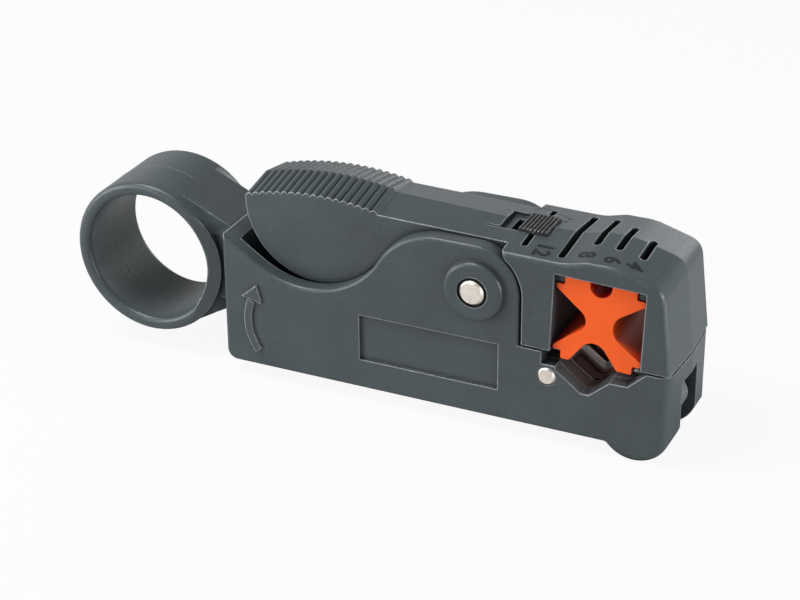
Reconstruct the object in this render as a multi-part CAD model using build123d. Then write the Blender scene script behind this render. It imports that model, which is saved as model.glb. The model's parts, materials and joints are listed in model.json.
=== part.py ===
from build123d import *
import os
from math import acos, asin, atan2, cos, degrees, hypot, radians, sin, sqrt, tan

# Coaxial cable stripper. Sizes are in millimetres.
# While it is drawn, X runs from the body's rear face to the jaws, Y across, and Z up from the flat bottom.
# At the end every piece moves to the centre of the tool's base.

# Driving sizes, with the places that follow them
BODY_LENGTH = 75.3
BODY_WIDTH = 19.0
BLOCK_SIZE = 14.0
LEDGE_Z = 11.3
BLOCK_X = BODY_LENGTH - 11.6
BLOCK_Z = LEDGE_Z + 1.8 + BLOCK_SIZE / 2
PIVOT_X = BLOCK_X - 19.9
PIVOT_Z = BLOCK_Z + 1.5
HEAD_TOP_Z = BLOCK_Z + BLOCK_SIZE / 2 + 2.6

# Body
BODY_EDGE = 0.6
WALL = 2.5
FLOOR = 2.4
REAR_WALL = 2.0
FRONT_WALL = 2.6
REAR_LIP_Z = 22.4
HEEL_RADIUS = 1.8
FRONT_CORNER = 2.0
NOSE_CROWN = 0.5

# Contour of the side walls
BOWL_X = 0.331 * PIVOT_X
BOWL_RADIUS = 0.347 * PIVOT_X
BOWL_BOTTOM_Z = 15.8
SHOULDER_RADIUS = 11.6
CHEEK_RADIUS = 7.4

# Jaw line between the body and the head, lower towards the front
JAW_LINE_Z = 13.5
JAW_LINE_DROP = 0.45
JAW_GAP = 0.35

# Toe under the jaws
TOE_RADIUS = 5.7
TOE_Z = 3.5
TOE_BLEND = 0.8

# Finger ring and neck
RING_BORE_RADIUS = 11.0
RING_WALL = 2.2
RING_WIDTH = 15.6
RING_EDGE = 0.9
RING_CENTRE_X = -15.4
RING_CENTRE_Z = 14.3
NECK_WIDTH = 11.6
NECK_FLARE_X = -7.0
NECK_FOOT_Z = 8.6

# Pivot
PIN_RADIUS = 2.0
PIN_CLEARANCE = 0.05
SEAT_CLEARANCE = 0.02
BOSS_RADIUS = 4.9
BOSS_HEIGHT = 1.1
BOSS_EDGE = 0.7
PIN_PROUD = 0.35
PIN_EDGE = 0.3
PIN_WELL_RADIUS = 2.5
PIN_WELL_DEPTH = 0.6

# Cable notch in the side walls
NOTCH_REAR_X = BLOCK_X - 8.85
VEE_REAR_X = BLOCK_X - 6.5
VEE_REAR_Z = 10.7
VEE_BOTTOM_X = BLOCK_X - 1.65
VEE_BOTTOM_Z = 7.55
VEE_FLAT = 1.3
VEE_FRONT_X = BLOCK_X + 2.2
VEE_FRONT_Z = 10.35
SHELF_LENGTH = 2.9
NOTCH_FRONT_X = BLOCK_X + 7.5
LEAD_IN = 1.85
LEAD_IN_DEPTH = 1.5

# Front slot
SLOT_WIDTH = 7.4
SLOT_TOP_Z = 9.8

# Label recess and arrow on the near wall
LABEL_X = 0.5514 * PIVOT_X
LABEL_Z = 5.15
LABEL_LENGTH = 23.6
LABEL_HEIGHT = 7.9
LABEL_DEPTH = 0.5
ARROW_HEIGHT = 0.35
ARROW_CENTRE_X = 13.5
ARROW_CENTRE_Z = 8.3
ARROW_INNER_RADIUS = 8.45
ARROW_BAND = 1.35
ARROW_START = 158.0
ARROW_SWEEP = 58.0
ARROW_TIP = (6.1, 14.7)
ARROW_BARBS = ((3.4, 12.3), (6.95, 11.5))

# Lever, pad and head
LEVER_GAP = 0.3
ROOF_CROWN = 0.95
PAD_CROWN = 1.7
HEAD_REAR_X = PIVOT_X + 4.2
HEAD_EDGE = 0.8
HEAD_LEAN = 2.0
SKIN = 2.2
HEAD_WALL = 1.2
LEVER_SIDE = 1.8
HUB_RADIUS = 6.4
LEVER_UNDERSIDE_Z = PIVOT_Z - 0.6
PAD_REAR_X = 0.07 * PIVOT_X
PAD_FRONT_X = 0.598 * PIVOT_X
PAD_CENTRE_X = 0.356 * PIVOT_X
PAD_GAP = 0.1
PAD_REAR_Z = HEAD_TOP_Z + 0.1
PAD_PEAK_Z = HEAD_TOP_Z + 2.05
PAD_FRONT_Z = HEAD_TOP_Z + 1.1
RIB_COUNT = 18
RIB_HEIGHT = 0.42
BUMP_Z = HEAD_TOP_Z + 0.9
BUMP_START_X = BLOCK_X - 5.9
BUMP_RISE_X = BLOCK_X - 2.3
BUMP_FALL_X = BLOCK_X + 2.4
BROW_X = BODY_LENGTH - 1.2
BROW_Z = HEAD_TOP_Z - 1.3
BROW_RADIUS = 3.0

# Window and cable block
BLOCK_RECESS = 0.7
BLOCK_CLEARANCE = 0.25
BLOCK_EDGE = 0.25
STEP_WIDTH = 1.3
STEP_HEIGHT = 1.4
STEP_CLEARANCE = 0.12
# side of the block in degrees: distance of the notch from the centre, its radius, half its angle
NOTCHES = {180: (2.0, 2.0, 38.0), 0: (2.3, 2.7, 35.0), 270: (3.25, 2.2, 36.0), 90: (4.65, 1.75, 5.0)}
LOWER_NOTCH_X = -0.5

# Gauge slots: place along X from the block's middle, middle across, length across
GAUGE_WIDTH = 1.2
GAUGES = ((-6.75, -0.2, 15.4), (-2.6, 1.15, 10.1), (1.05, -0.15, 8.3), (4.85, -1.45, 6.1))

# Slide on top of the lever
SLIDE_X = BLOCK_X - 13.15
SLIDE_LENGTH = 4.9
SLIDE_WIDTH = 6.0
SLIDE_PROUD = 0.5
SLIDE_RIBS = 8
SLIDE_TRAVEL = 2.8
TRACK_WIDTH = 6.4
TRACK_DEPTH = 0.6
TRACK_MARK_WIDTH = 0.35
TRACK_MARK_DEPTH = 0.35
TRACK_MARK_LENGTH = 2.0
TRACK_CLEARANCE = 0.15
STEM_LENGTH = 2.2
STEM_WIDTH = 3.6
STEM_WAIST = 0.4
STEM_FOOT = 0.6
CROSS_GROOVE_WIDTH = 1.0
CROSS_GROOVE_DEPTH = 0.5
CROSS_GROOVE_LENGTH = 13.4
CLIP_THICKNESS = 0.4
CLIP_LENGTH = 3.4
CLIP_WIDTH = 5.4
CLIP_CLEARANCE = 0.04

# Blades and their cassette
CASSETTE_PIN_X = BLOCK_X - 7.9
CASSETTE_PIN_Z = 9.3
CASSETTE_PIN_RADIUS = 1.5
BLADE_THICKNESS = 0.6
BLADE_PITCH = 4.0
BLADE_SLOT_CLEARANCE = 0.06
BLADE_EYE_RADIUS = 2.0
# height of each row's vee over the vee in the walls
BLADE_PROUD = {-1: -0.6, 0: 0.85, 1: 0.85}
BLADE_SLOPE = 0.72
BLADE_EDGE = 0.16
BLADE_BEVEL_HEIGHT = 1.3
BLADE_BACK_Z = 4.9
BLADE_TAIL_X = BODY_LENGTH - 4.3
CASSETTE_GAP = 0.25
CASSETTE_BACK_X = CASSETTE_PIN_X - 3.4
CASSETTE_REST_DROP = 0.1
CASSETTE_RELIEF_DROP = 0.8
NOSE_RADIUS = 2.9
NOSE_WIDTH = 4.0
NOSE_X = BODY_LENGTH - 3.4
NOSE_Z = 4.9
SPACER_ROOM = 2.5
SPACER_RADIUS = 2.1
SCREW_X = BODY_LENGTH - 6.0
SCREW_RADIUS = 1.2
SCREW_SEAT = 0.04
SCREW_SOCKET = 1.3
SCREW_SOCKET_DEPTH = 1.4
FIXING_X = BLOCK_X - 3.7
FIXING_RADIUS = 1.0
FIXING_HEAD_RADIUS = 1.9
FIXING_HEAD = 1.1
FIXING_REACH = 3.0
FIXING_SOCKET = 1.3

# Return spring under the pad
SPRING_X = 0.6164 * PIVOT_X
SPRING_RADIUS = 2.8
SPRING_WIRE = 0.9
SPRING_TURNS = 6
SPRING_TOP_Z = 15.0
SPRING_POST_RADIUS = 4.2
WEB_LENGTH = 10.0
SPIGOT_CLEARANCE = 0.15
SPIGOT_LENGTH = 2.6

# Leaf spring over the block
LEAF_THICKNESS = 0.3
LEAF_WIDTH = 3.2
LEAF_LENGTH = 9.0

HALF = BODY_WIDTH / 2
INNER_HALF = HALF - WALL
LEVER_HALF = INNER_HALF - LEVER_GAP
WALL_TOP_Z = PIVOT_Z + CHEEK_RADIUS
TRACK_Z = HEAD_TOP_Z - TRACK_DEPTH
HEAD_CEILING_Z = TRACK_Z - SKIN
CHEEK_X = PIVOT_X + CHEEK_RADIUS
FRONT_X = BODY_LENGTH + NOSE_CROWN
TOE_X = FRONT_X - TOE_RADIUS
RING_RADIUS = RING_BORE_RADIUS + RING_WALL
BOWL_Z = BOWL_BOTTOM_Z + BOWL_RADIUS
SHOULDER_Z = WALL_TOP_Z - SHOULDER_RADIUS
SHOULDER_X = BOWL_X + sqrt((BOWL_RADIUS + SHOULDER_RADIUS) ** 2 - (BOWL_Z - SHOULDER_Z) ** 2)
PAD_RADIUS = PAD_CENTRE_X - PAD_REAR_X
PAD_CENTRE_Z = BOWL_BOTTOM_Z + PAD_GAP + PAD_RADIUS
FAR = 40.0


def plate(outline, low, high):
    """A side outline, drawn in X and Z, made solid from Y = low to Y = high."""
    return Pos(0, high, 0) * extrude(Plane.XZ * outline, amount=high - low)


def both_sides(outline, half):
    return plate(outline, -half, half)


def polygon(points):
    return make_face(Polyline(*points, close=True))


def box(low, high):
    """A rectangle in an outline, from its low corner to its high corner."""
    return Pos((low[0] + high[0]) / 2, (low[1] + high[1]) / 2) * Rectangle(high[0] - low[0], high[1] - low[1])


def lean(outline):
    """The head's window and block lean forward about the pivot."""
    return Pos(PIVOT_X, PIVOT_Z) * Rot(0, 0, -HEAD_LEAN) * Pos(-PIVOT_X, -PIVOT_Z) * outline


def lean_solid(part):
    return Pos(PIVOT_X, 0, PIVOT_Z) * Rot(0, HEAD_LEAN, 0) * Pos(-PIVOT_X, 0, -PIVOT_Z) * part


def cross_bar(x, z, radius, half):
    """A round bar along Y."""
    return both_sides(Pos(x, z) * Circle(radius), half)


def jaw_line(x):
    share = (x - CHEEK_X) / (BODY_LENGTH - CHEEK_X)
    return JAW_LINE_Z - JAW_LINE_DROP * share


def on_circle(x, z, radius, angle):
    return (x + radius * cos(radians(angle)), z + radius * sin(radians(angle)))


def largest(part):
    """The main solid of a cut, without slivers."""
    return Part() + max(part.solids(), key=lambda solid: solid.volume)


# Body

def wall_contour():
    """The top edge of a side wall, from the rear lip to the front of the pivot, as curves."""
    lip = (0, REAR_LIP_Z)
    reach = hypot(BOWL_X, BOWL_Z - REAR_LIP_Z)
    lip_turn = degrees(atan2(BOWL_Z - REAR_LIP_Z, BOWL_X) - asin(BOWL_RADIUS / reach))
    bowl_start = lip_turn - 90 + 360
    slope = degrees(atan2(SHOULDER_Z - BOWL_Z, SHOULDER_X - BOWL_X))
    bowl_end = slope + 360
    shoulder_start = slope + 180
    return [
        Line(lip, on_circle(BOWL_X, BOWL_Z, BOWL_RADIUS, bowl_start)),
        CenterArc((BOWL_X, BOWL_Z), BOWL_RADIUS, bowl_start, bowl_end - bowl_start),
        CenterArc((SHOULDER_X, SHOULDER_Z), SHOULDER_RADIUS, shoulder_start, 90 - shoulder_start),
        Line((SHOULDER_X, WALL_TOP_Z), (PIVOT_X, WALL_TOP_Z)),
        CenterArc((PIVOT_X, PIVOT_Z), CHEEK_RADIUS, 90, -90),
    ]


def body_outline():
    """The body's whole side view, without the notch, ring and neck."""
    toe_angle = degrees(asin(TOE_Z / TOE_RADIUS))
    toe_rear = (TOE_X - sqrt(TOE_RADIUS ** 2 - TOE_Z ** 2), 0)
    edges = wall_contour()
    edges += [
        Line((CHEEK_X, PIVOT_Z), (CHEEK_X, jaw_line(CHEEK_X))),
        Line((CHEEK_X, jaw_line(CHEEK_X)), (FRONT_X, jaw_line(FRONT_X))),
        Line((FRONT_X, jaw_line(FRONT_X)), (FRONT_X, TOE_Z)),
        CenterArc((TOE_X, TOE_Z), TOE_RADIUS, 0, -180 + toe_angle),
        Line(toe_rear, (0, 0)),
        Line((0, 0), (0, REAR_LIP_Z)),
    ]
    outline = make_face(edges)
    heel = outline.vertices().sort_by_distance((0, 0))[0]
    outline = fillet(heel, HEEL_RADIUS)
    blend = outline.vertices().sort_by_distance(toe_rear)[0]
    return fillet(blend, TOE_BLEND)


def nose_plan(half, corner):
    """The plan of the front end: two flats that meet in a slight ridge, with round corners."""
    plan = polygon([(-FAR, -half), (BODY_LENGTH, -half), (FRONT_X, 0), (BODY_LENGTH, half), (-FAR, half)])
    corners = [v for v in plan.vertices() if abs(v.X - BODY_LENGTH) < 0.01]
    return fillet(corners, corner)


def neck_outline():
    """The web between ring and body, tangent to the ring at its top and its foot."""
    root_z = REAR_LIP_Z - BODY_EDGE
    root_reach = hypot(RING_CENTRE_X, root_z - RING_CENTRE_Z)
    top = degrees(atan2(root_z - RING_CENTRE_Z, -RING_CENTRE_X) + acos(RING_RADIUS / root_reach))
    foot_reach = hypot(RING_CENTRE_X, NECK_FOOT_Z - RING_CENTRE_Z)
    foot = degrees(atan2(NECK_FOOT_Z - RING_CENTRE_Z, -RING_CENTRE_X) - acos(RING_RADIUS / foot_reach))
    return polygon([
        on_circle(RING_CENTRE_X, RING_CENTRE_Z, RING_RADIUS, top),
        (0, root_z),
        (REAR_WALL / 2, root_z - REAR_WALL / 2),
        (REAR_WALL / 2, NECK_FOOT_Z),
        on_circle(RING_CENTRE_X, RING_CENTRE_Z, RING_RADIUS, foot),
        (RING_CENTRE_X, RING_CENTRE_Z),
    ])


def notch_outline(drop=0.0):
    """The cable notch through a side wall; drop lowers its vee for the lead-in on the outer face."""
    half_flat = VEE_FLAT / 2
    return [
        (NOTCH_REAR_X, FAR),
        (NOTCH_REAR_X, LEDGE_Z),
        (VEE_REAR_X, LEDGE_Z),
        (VEE_REAR_X, VEE_REAR_Z - drop * 0.75),
        (VEE_BOTTOM_X - half_flat, VEE_BOTTOM_Z - drop),
        (VEE_BOTTOM_X + half_flat, VEE_BOTTOM_Z - drop),
        (VEE_FRONT_X + drop * 0.3, VEE_FRONT_Z - drop * 0.75),
        (VEE_FRONT_X + SHELF_LENGTH + drop * 0.3, VEE_FRONT_Z + drop * 0.3),
        (NOTCH_FRONT_X + drop * 0.3, jaw_line(NOTCH_FRONT_X)),
        (NOTCH_FRONT_X + drop * 0.3, FAR),
    ]


def lead_in(side):
    """The bevel that opens the notch towards the outside of one wall."""
    outer = Pos(0, side * (HALF + 0.01), 0) * (Plane.XZ * polygon(notch_outline(LEAD_IN)))
    inner = Pos(0, side * (HALF - LEAD_IN_DEPTH), 0) * (Plane.XZ * polygon(notch_outline()))
    return loft([outer, inner], ruled=True)


def arrow():
    """The raised arrow on the near wall that shows which way the tool is turned."""
    outer = ARROW_INNER_RADIUS + ARROW_BAND
    centre = (ARROW_CENTRE_X, ARROW_CENTRE_Z)
    end = ARROW_START + ARROW_SWEEP
    band = make_face([
        CenterArc(centre, outer, ARROW_START, ARROW_SWEEP),
        Line(on_circle(*centre, outer, end), on_circle(*centre, ARROW_INNER_RADIUS, end)),
        CenterArc(centre, ARROW_INNER_RADIUS, end, -ARROW_SWEEP),
        Line(on_circle(*centre, ARROW_INNER_RADIUS, ARROW_START), on_circle(*centre, outer, ARROW_START)),
    ])
    head = polygon([ARROW_TIP, *ARROW_BARBS])
    return plate(band + head, -HALF - ARROW_HEIGHT, -HALF + 0.2)


def neck_plan():
    """As wide as the ring at the ring, narrower where it meets the body."""
    wide = RING_WIDTH / 2
    half = NECK_WIDTH / 2
    return polygon([
        (-FAR, -wide), (NECK_FLARE_X, -wide), (0, -half), (REAR_WALL, -half),
        (REAR_WALL, half), (0, half), (NECK_FLARE_X, wide), (-FAR, wide),
    ])


def finger_ring():
    """The ring and its neck, rounded together along their rims."""
    ring = Pos(RING_CENTRE_X, RING_CENTRE_Z) * Circle(RING_RADIUS)
    part = both_sides(ring + neck_outline(), RING_WIDTH / 2)
    part -= cross_bar(RING_CENTRE_X, RING_CENTRE_Z, RING_BORE_RADIUS, RING_WIDTH)
    rims = []
    for edge in part.edges():
        on_side = abs(abs(edge.center().Y) - RING_WIDTH / 2) < 0.01
        if on_side and edge.center().X < 0:
            rims.append(edge)
    part = fillet(rims, RING_EDGE)
    return part & Pos(0, 0, -FAR) * extrude(neck_plan(), amount=3 * FAR)


def body_shell():
    shell = both_sides(body_outline(), HALF)
    sharp = jaw_line(FRONT_X) - 0.1
    rims = []
    for edge in shell.edges():
        on_side = abs(abs(edge.center().Y) - HALF) < 0.01
        jaw = abs(edge.center().Z - jaw_line(edge.center().X)) < 0.2 and edge.center().X > CHEEK_X + 1
        if on_side and not jaw:
            rims.append(edge)
    shell = fillet(rims, BODY_EDGE)
    shell &= Pos(0, 0, -FAR / 2) * extrude(nose_plan(HALF, FRONT_CORNER), amount=FAR * 2)
    cavity = box((REAR_WALL, FLOOR), (BODY_LENGTH - FRONT_WALL, FAR))
    return shell - both_sides(cavity, INNER_HALF)


def boss():
    disc = cross_bar(PIVOT_X, PIVOT_Z, BOSS_RADIUS, HALF + BOSS_HEIGHT)
    rims = disc.edges().filter_by(GeomType.CIRCLE)
    disc = fillet(rims, BOSS_EDGE)
    return disc - both_sides(box((0, 0), (FRONT_X, FAR)), INNER_HALF + WALL / 2)


def spring_spigot(height, z):
    radius = SPRING_RADIUS - SPRING_WIRE / 2 - SPIGOT_CLEARANCE
    return Pos(SPRING_X, 0, z + height / 2) * Cylinder(radius, height)


def body_frame():
    part = body_shell() + finger_ring() + boss() + arrow() + spring_spigot(SPIGOT_LENGTH + 0.5, FLOOR - 0.5)
    part -= both_sides(polygon(notch_outline()), HALF + 1)
    part -= lead_in(-1)
    part -= lead_in(1)
    label = box((LABEL_X, LABEL_Z), (LABEL_X + LABEL_LENGTH, LABEL_Z + LABEL_HEIGHT))
    part -= plate(label, -HALF - 1, -HALF + LABEL_DEPTH)
    slot = box((BODY_LENGTH - FRONT_WALL - 0.5, -FAR), (FAR * 2, SLOT_TOP_Z))
    part -= both_sides(slot, SLOT_WIDTH / 2)
    part -= cross_bar(NOSE_X, NOSE_Z, NOSE_RADIUS + CASSETTE_GAP, NOSE_WIDTH / 2 + CASSETTE_GAP)
    part -= cross_bar(PIVOT_X, PIVOT_Z, PIN_RADIUS + SEAT_CLEARANCE, FAR)
    for side in (-1, 1):
        face = side * (HALF + BOSS_HEIGHT)
        low, high = sorted((face - side * PIN_WELL_DEPTH, face + side))
        part -= plate(Pos(PIVOT_X, PIVOT_Z) * Circle(PIN_WELL_RADIUS), low, high)
    part -= cross_bar(CASSETTE_PIN_X, CASSETTE_PIN_Z, CASSETTE_PIN_RADIUS + SEAT_CLEARANCE, FAR)
    for row in (-1, 0, 1):
        part -= Pos(SCREW_X, row * BLADE_PITCH, 0) * Cylinder(SCREW_RADIUS + PIN_CLEARANCE, FAR)
    part -= Pos(FIXING_X, 0, 0) * Cylinder(FIXING_RADIUS + 0.1, FAR)
    part -= Pos(FIXING_X, 0, FIXING_HEAD / 2) * Cylinder(FIXING_HEAD_RADIUS + 0.15, FIXING_HEAD)
    return largest(part)


# Lever, pad and head

def top_profile(pad_crown, crown, nose):
    """The top and front of pad, lever and head at one distance from the middle, closed far below."""
    peak_x = (PAD_REAR_X + PAD_FRONT_X) / 2
    arc = ThreePointArc(
        (PAD_REAR_X, PAD_REAR_Z - pad_crown),
        (peak_x, PAD_PEAK_Z - pad_crown),
        (PAD_FRONT_X, PAD_FRONT_Z - pad_crown),
    )
    edges = []
    for rib in range(RIB_COUNT):
        start = arc @ (rib / RIB_COUNT)
        crest = arc @ ((rib + 0.5) / RIB_COUNT)
        end = arc @ ((rib + 1) / RIB_COUNT)
        edges.append(ThreePointArc(start, (crest.X, crest.Y + RIB_HEIGHT), end))
    back = FilletPolyline(
        arc @ 1,
        (BUMP_START_X, HEAD_TOP_Z - crown),
        (BUMP_RISE_X, BUMP_Z - crown),
        (BUMP_FALL_X, BUMP_Z - crown),
        (BROW_X - nose, BROW_Z - crown),
        (FRONT_X - nose, jaw_line(FRONT_X)),
        radius=(8.0, 5.0, 9.0, BROW_RADIUS),
    )
    edges += back.edges()
    edges.append(Line((FRONT_X - nose, jaw_line(FRONT_X)), (FRONT_X - nose, 0)))
    edges.append(Line((FRONT_X - nose, 0), (PAD_REAR_X, 0)))
    edges.append(Line((PAD_REAR_X, 0), arc @ 0))
    return make_face(edges)


def roof_block():
    """Everything under the roof-shaped top, as wide as the body."""
    side = Pos(0, -HALF, 0) * (Plane.XZ * top_profile(PAD_CROWN, ROOF_CROWN, NOSE_CROWN))
    middle = Plane.XZ * top_profile(0, 0, 0)
    near = loft([side, middle], ruled=True)
    return near + mirror(near, about=Plane.XZ)


def head_mask():
    """The head's side view: round the pivot at the rear, along the jaw line below."""
    rear = CHEEK_RADIUS + JAW_GAP
    rear_x = PIVOT_X + rear
    mask = polygon([
        (HEAD_REAR_X, PIVOT_Z),
        (rear_x, PIVOT_Z),
        (rear_x, jaw_line(rear_x) + JAW_GAP),
        (FRONT_X + 5, jaw_line(FRONT_X + 5) + JAW_GAP),
        (FRONT_X + 5, FAR),
        (HEAD_REAR_X, FAR),
    ])
    return mask - Pos(PIVOT_X, PIVOT_Z) * Circle(rear)


def lever_mask():
    """The narrow lever's side view: pad, bar, hub and the root of the head."""
    bar_end = PAD_CENTRE_X + sqrt(PAD_RADIUS ** 2 - (PAD_CENTRE_Z - LEVER_UNDERSIDE_Z) ** 2)
    pad = Pos(PAD_CENTRE_X, PAD_CENTRE_Z) * Circle(PAD_RADIUS)
    pad_top = box((PAD_REAR_X, PAD_CENTRE_Z), (bar_end, FAR))
    bar = polygon([
        (bar_end - 3, LEVER_UNDERSIDE_Z),
        (PIVOT_X, LEVER_UNDERSIDE_Z - 2),
        (PIVOT_X, FAR),
        (bar_end - 3, FAR),
    ])
    hub = Pos(PIVOT_X, PIVOT_Z) * Circle(HUB_RADIUS)
    root = box((PIVOT_X, PIVOT_Z - HUB_RADIUS), (CHEEK_X + 2, FAR))
    return pad + pad_top + bar + hub + root


def lever_hollow():
    """The open space under the pad's skin."""
    inner_radius = PAD_RADIUS - LEVER_SIDE
    top = PAD_FRONT_Z - ROOF_CROWN - SKIN
    peak_x = (PAD_REAR_X + PAD_FRONT_X) / 2
    return make_face([
        Line((PAD_REAR_X + LEVER_SIDE, 0), (PAD_REAR_X + LEVER_SIDE, PAD_REAR_Z - ROOF_CROWN - SKIN)),
        ThreePointArc(
            (PAD_REAR_X + LEVER_SIDE, PAD_REAR_Z - ROOF_CROWN - SKIN),
            (peak_x, PAD_PEAK_Z - ROOF_CROWN - SKIN),
            (PAD_FRONT_X, top),
        ),
        Line((PAD_FRONT_X, top), (PIVOT_X - HUB_RADIUS, top)),
        Line((PIVOT_X - HUB_RADIUS, top), (PIVOT_X - HUB_RADIUS, 0)),
        Line((PIVOT_X - HUB_RADIUS, 0), (PAD_REAR_X + LEVER_SIDE, 0)),
    ])


def window_outline():
    half = BLOCK_SIZE / 2 + BLOCK_CLEARANCE
    return box((BLOCK_X - half, 0), (BLOCK_X + half, BLOCK_Z + half))


def window_ribs():
    """The four corner ribs that the block's steps slide on."""
    outer = BLOCK_SIZE / 2 + BLOCK_CLEARANCE
    inner_x = BLOCK_SIZE / 2 - STEP_WIDTH + STEP_CLEARANCE
    inner_z = BLOCK_SIZE / 2 - STEP_HEIGHT + STEP_CLEARANCE
    ribs = Sketch()
    for side in (-1, 1):
        low_x, high_x = sorted((side * inner_x, side * (outer + 0.3)))
        ribs += Pos(BLOCK_X, BLOCK_Z) * box((low_x, inner_z), (high_x, outer + 0.3))
        ribs += Pos(BLOCK_X, BLOCK_Z) * box((low_x, -FAR), (high_x, -inner_z))
    return ribs


def head_block(roof):
    head = roof & both_sides(head_mask(), HALF)
    rims = []
    for edge in head.edges():
        middle = edge.center()
        outside = abs(abs(middle.Y) - HALF) < 0.01
        lower = middle.Z < jaw_line(middle.X) + JAW_GAP + 0.2
        rear = hypot(middle.X - PIVOT_X, middle.Z - PIVOT_Z) < CHEEK_RADIUS + 1 or middle.X < CHEEK_X + 1
        top = middle.Z > HEAD_TOP_Z - ROOF_CROWN - 0.6
        if outside and not lower and (top or not rear):
            rims.append(edge)
    head = fillet(rims, HEAD_EDGE)
    window = both_sides(lean(window_outline()), FAR)
    ribs = head & both_sides(lean(window_ribs()), HALF - BLOCK_RECESS - 0.3)
    return (head - window) + ribs


def gauge_cuts():
    cuts = Part()
    for x, y, length in GAUGES:
        low = BLOCK_Z + BLOCK_SIZE / 2 - 1
        slot = Rot(0, 0, 90) * SlotOverall(length, GAUGE_WIDTH)
        shape = Pos(BLOCK_X + x, y, low) * extrude(slot, amount=FAR)
        cuts += shape
    return cuts


def travel_room(length):
    """The stretch of X that a feature of the slide sweeps, with clearance."""
    half = length / 2 + TRACK_CLEARANCE
    return (SLIDE_X - half - SLIDE_TRAVEL, SLIDE_X + half)


def slide_track():
    """The sunk track for the slide, the slot for its stem and the groove across the top."""
    low, high = travel_room(SLIDE_LENGTH)
    cuts = both_sides(box((low, TRACK_Z), (high, FAR)), TRACK_WIDTH / 2)
    low, high = travel_room(STEM_LENGTH)
    cuts += both_sides(box((low, HEAD_CEILING_Z - 0.5), (high, FAR)), STEM_WIDTH / 2 + TRACK_CLEARANCE)
    groove_z = HEAD_TOP_Z - ROOF_CROWN - CROSS_GROOVE_DEPTH
    groove = box((SLIDE_X - CROSS_GROOVE_WIDTH / 2, groove_z), (SLIDE_X + CROSS_GROOVE_WIDTH / 2, FAR))
    return cuts + both_sides(groove, CROSS_GROOVE_LENGTH / 2)


def track_marks():
    """Two thin lines behind the track, in line with its sides."""
    end = travel_room(SLIDE_LENGTH)[0]
    y = TRACK_WIDTH / 2
    roof_z = HEAD_TOP_Z - ROOF_CROWN * y / HALF
    mark = box((end - TRACK_MARK_LENGTH, roof_z - TRACK_MARK_DEPTH), (end + 0.1, FAR))
    near = plate(mark, -y, -y + TRACK_MARK_WIDTH)
    return near + mirror(near, about=Plane.XZ)


def head_hollow():
    """The open space between the hub and the window, and the room for the clip above the hub."""
    low, high = travel_room(CLIP_LENGTH)
    front = BLOCK_X - BLOCK_SIZE / 2 - 2 * HEAD_WALL
    hollow = both_sides(box((high - HEAD_WALL, 0), (front, HEAD_CEILING_Z)), LEVER_HALF - HEAD_WALL)
    room = box((low, HEAD_CEILING_Z - STEM_FOOT - 1.2), (high, HEAD_CEILING_Z))
    return hollow + both_sides(room, CLIP_WIDTH / 2 + TRACK_CLEARANCE)


def spring_post():
    top = LEVER_UNDERSIDE_Z + 4
    post = Pos(SPRING_X, 0, (SPRING_TOP_Z + top) / 2) * Cylinder(SPRING_POST_RADIUS, top - SPRING_TOP_Z)
    return post + spring_spigot(SPIGOT_LENGTH, SPRING_TOP_Z - SPIGOT_LENGTH)


def jaw_lever():
    roof = roof_block()
    lever = roof & both_sides(lever_mask(), LEVER_HALF)
    lever -= both_sides(lever_hollow(), LEVER_HALF - LEVER_SIDE)
    web_x = (SPRING_X - WEB_LENGTH / 2, SPRING_X + WEB_LENGTH / 2)
    web = box((web_x[0], LEVER_UNDERSIDE_Z + 1), (web_x[1], PAD_FRONT_Z - SKIN))
    web = both_sides(web, LEVER_HALF - LEVER_SIDE / 2)
    part = lever + web + spring_post() + head_block(roof)
    part -= gauge_cuts()
    part -= slide_track()
    part -= track_marks()
    part -= head_hollow()
    part -= cross_bar(PIVOT_X, PIVOT_Z, PIN_RADIUS + PIN_CLEARANCE, FAR)
    part -= leaf_pocket()
    return largest(part)


# Cable block and its leaf spring

def notch_cut(distance, radius, half_angle):
    """A round-bottomed notch that opens along +X, at a distance from the block's centre."""
    turn = radians(half_angle)
    centre = distance + radius
    touch_x = centre - radius * sin(turn)
    touch_y = radius * cos(turn)
    mouth_x = BLOCK_SIZE
    mouth_y = touch_y + (mouth_x - touch_x) * tan(turn)
    wedge = polygon([(touch_x, touch_y), (mouth_x, mouth_y), (mouth_x, -mouth_y), (touch_x, -touch_y)])
    return wedge + Pos(centre, 0) * Circle(radius)


def v_block():
    half = BLOCK_SIZE / 2
    outline = Rectangle(BLOCK_SIZE, BLOCK_SIZE)
    for x in (-1, 1):
        for z in (-1, 1):
            outline -= Pos(x * half, z * half) * Rectangle(2 * STEP_WIDTH, 2 * STEP_HEIGHT)
    for side, notch in NOTCHES.items():
        shift = LOWER_NOTCH_X if side == 270 else 0
        outline -= Pos(shift, 0) * Rot(0, 0, side) * notch_cut(*notch)
    block = both_sides(outline, HALF - BLOCK_RECESS)
    corners = []
    for edge in block.edges().filter_by(Axis.Y):
        if max(abs(edge.center().X), abs(edge.center().Z)) > half - STEP_HEIGHT - 0.01:
            corners.append(edge)
    block = fillet(corners, BLOCK_EDGE)
    return lean_solid(Pos(BLOCK_X, 0, BLOCK_Z) * block)


def leaf_place(outline):
    return lean(Pos(BLOCK_X - BLOCK_SIZE / 4, BLOCK_Z + BLOCK_SIZE / 2 + BLOCK_CLEARANCE) * outline)


def leaf_pocket():
    pocket = leaf_place(box((-LEAF_WIDTH / 2, -1), (LEAF_WIDTH / 2, LEAF_THICKNESS + 0.1)))
    return both_sides(pocket, LEAF_LENGTH / 2 + 0.2)


def block_spring():
    leaf = leaf_place(box((-LEAF_WIDTH / 2 + 0.1, 0), (LEAF_WIDTH / 2 - 0.1, LEAF_THICKNESS)))
    return both_sides(leaf, LEAF_LENGTH / 2)


# Slide on the lever and its clip

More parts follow.
